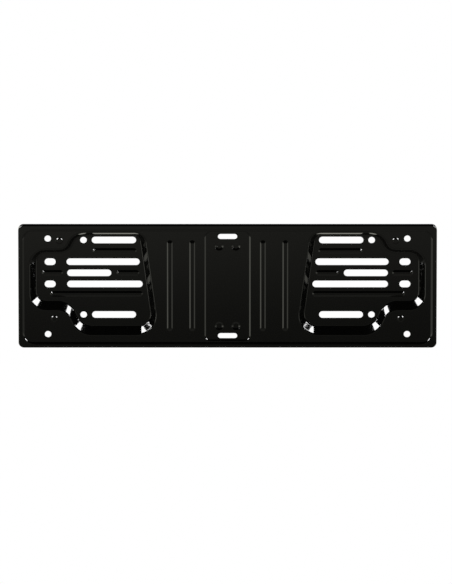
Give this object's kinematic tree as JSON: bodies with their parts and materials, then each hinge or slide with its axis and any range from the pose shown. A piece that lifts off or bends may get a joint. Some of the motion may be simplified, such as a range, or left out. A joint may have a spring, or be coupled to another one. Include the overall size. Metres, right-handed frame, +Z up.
{
  "type": "number plate holder",
  "caption": "Pressed sheet holder with a raised rim that carries a number plate and fixes to a bumper through slotted, sunk panels.",
  "frame": {"origin": "centre of the four plate holes, on the plate side of the flat field", "axes": "+X across the holder to the viewer's right, +Z up, -Y out of the plate side"},
  "size_m": [0.455, 0.01, 0.1386],
  "materials": {
    "black_paint": "gloss"
  },
  "bodies": {
    "root": {"holder_plate": "black_paint"}
  },
  "joints": []
}
